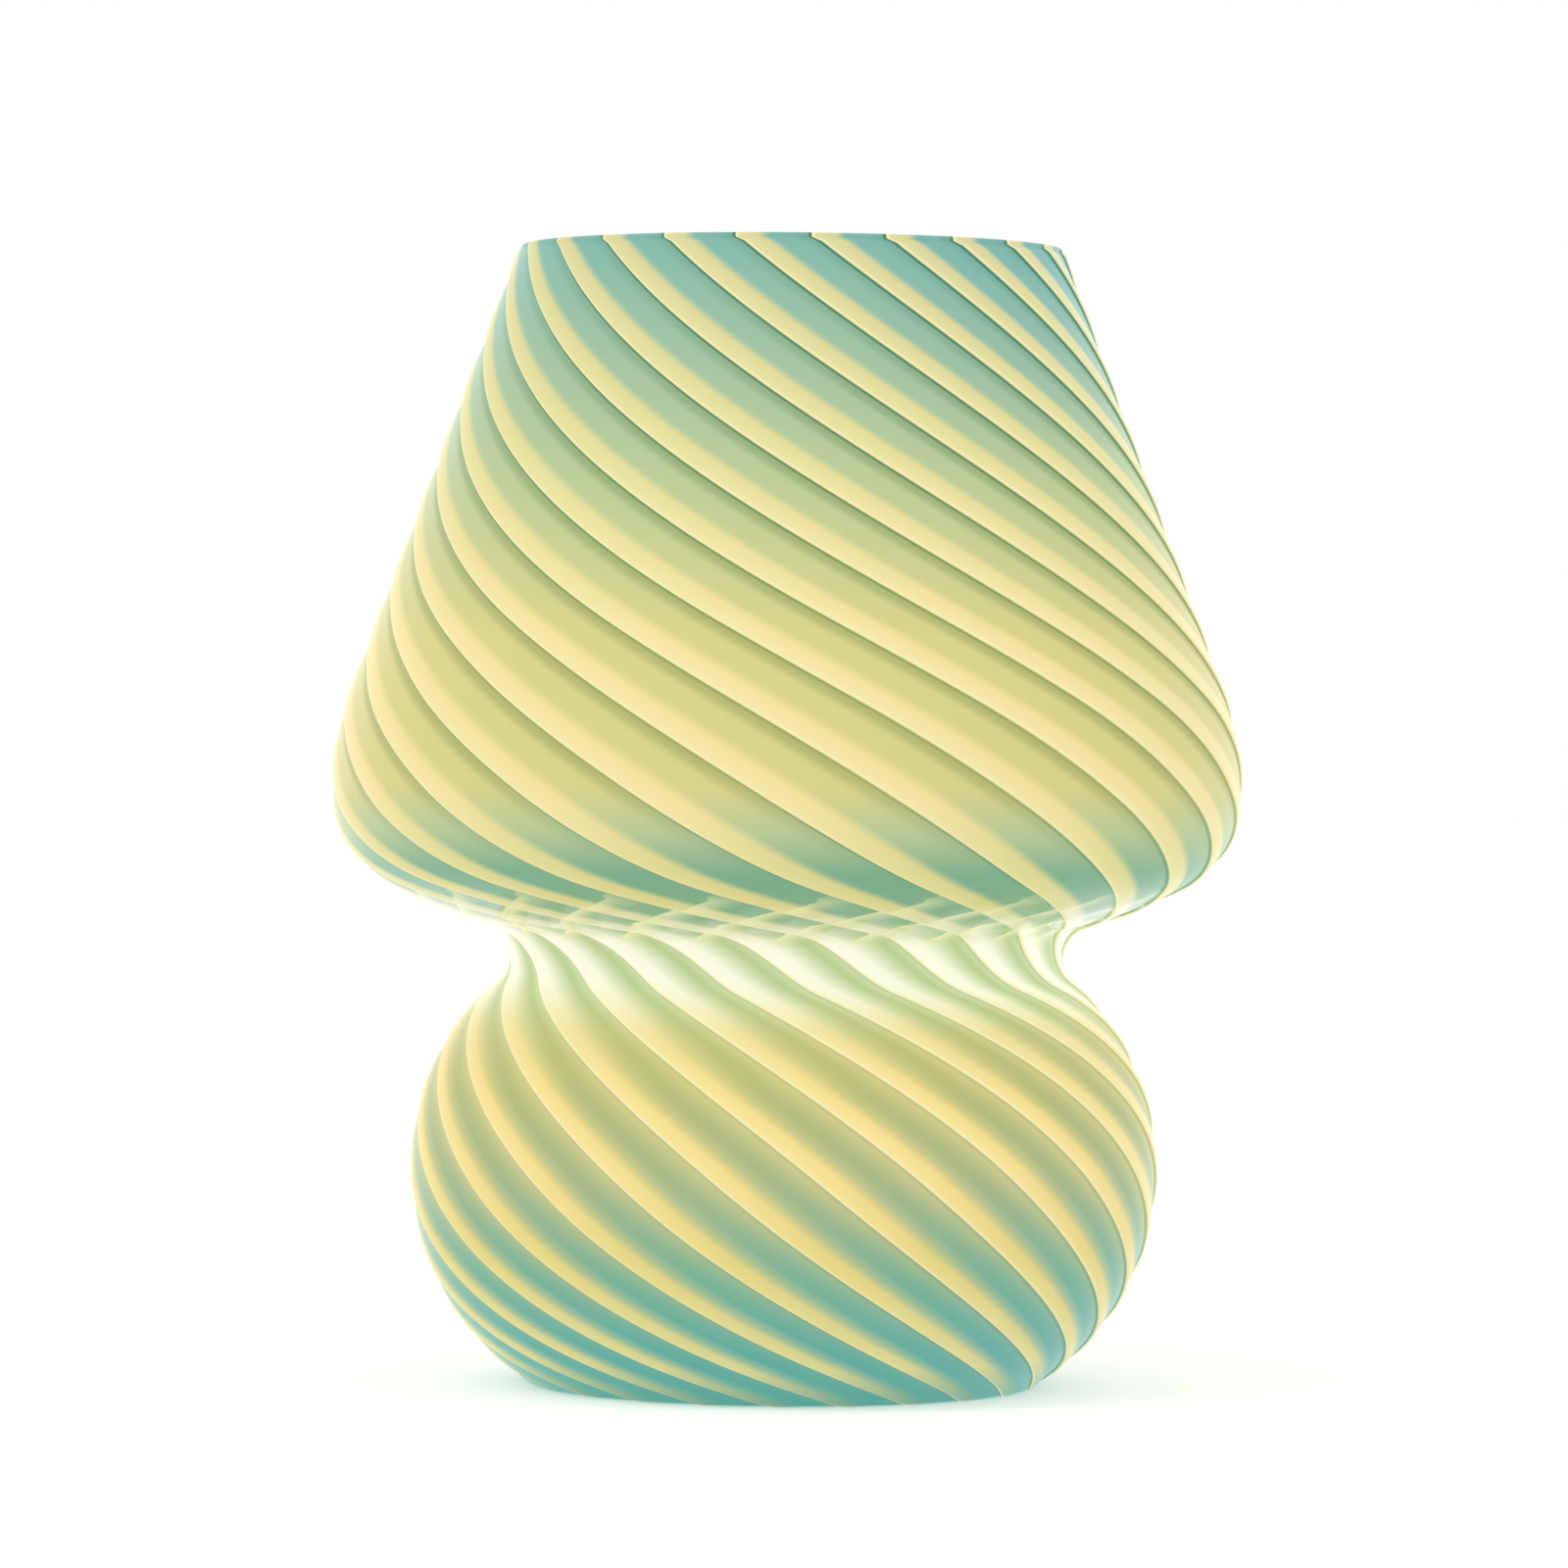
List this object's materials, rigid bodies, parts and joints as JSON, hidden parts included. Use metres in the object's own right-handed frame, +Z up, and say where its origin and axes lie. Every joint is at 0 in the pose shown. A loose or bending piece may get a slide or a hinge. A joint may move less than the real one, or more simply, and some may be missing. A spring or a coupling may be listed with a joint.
{
  "type": "table lamp",
  "caption": "Mushroom table lamp of one-piece swirl-ribbed opal glass, round belly and tapered open shade, with a screw-in holder inside and a lift-out frosted bulb.",
  "frame": {"origin": "middle of the flat ring that the foot rests on", "axes": "+Z up along the lamp's axis, +Y towards the back, where the cord hole is"},
  "size_m": [0.1925, 0.1926, 0.24],
  "materials": {
    "opal_glass": "gloss",
    "black_rubber": "matt",
    "zinc_steel": "satin",
    "white_moulding": "satin",
    "brass": "bright",
    "frosted_diffuser": "matt",
    "nickel_cap": "bright",
    "black_insulator": "gloss",
    "solder": "satin",
    "board_laminate": "matt",
    "light_chip": "matt"
  },
  "bodies": {
    "lamp": {"glass_body": "opal_glass", "cord_grommet": "black_rubber", "threaded_tube": "zinc_steel", "tube_nuts": "zinc_steel", "base_washer": "zinc_steel", "lower_gasket": "black_rubber", "upper_gasket": "black_rubber", "support_dish": "zinc_steel", "holder_dome": "white_moulding", "grub_screw": "zinc_steel", "holder_skirt": "white_moulding", "holder_core": "white_moulding", "screw_shell": "brass", "centre_contact": "brass", "terminal_screws": "zinc_steel"},
    "bulb": {"bulb_tip": "solder", "bulb_insulator": "black_insulator", "bulb_cap": "nickel_cap", "bulb_housing": "white_moulding", "bulb_globe": "frosted_diffuser", "led_board": "board_laminate", "led_chips": "light_chip", "driver_board": "board_laminate"}
  },
  "joints": [
    {"name": "bulb_lift", "type": "slide", "parent": "lamp", "child": "bulb", "axis": [0, 0, 1], "range_m": [0, 0.2]}
  ]
}
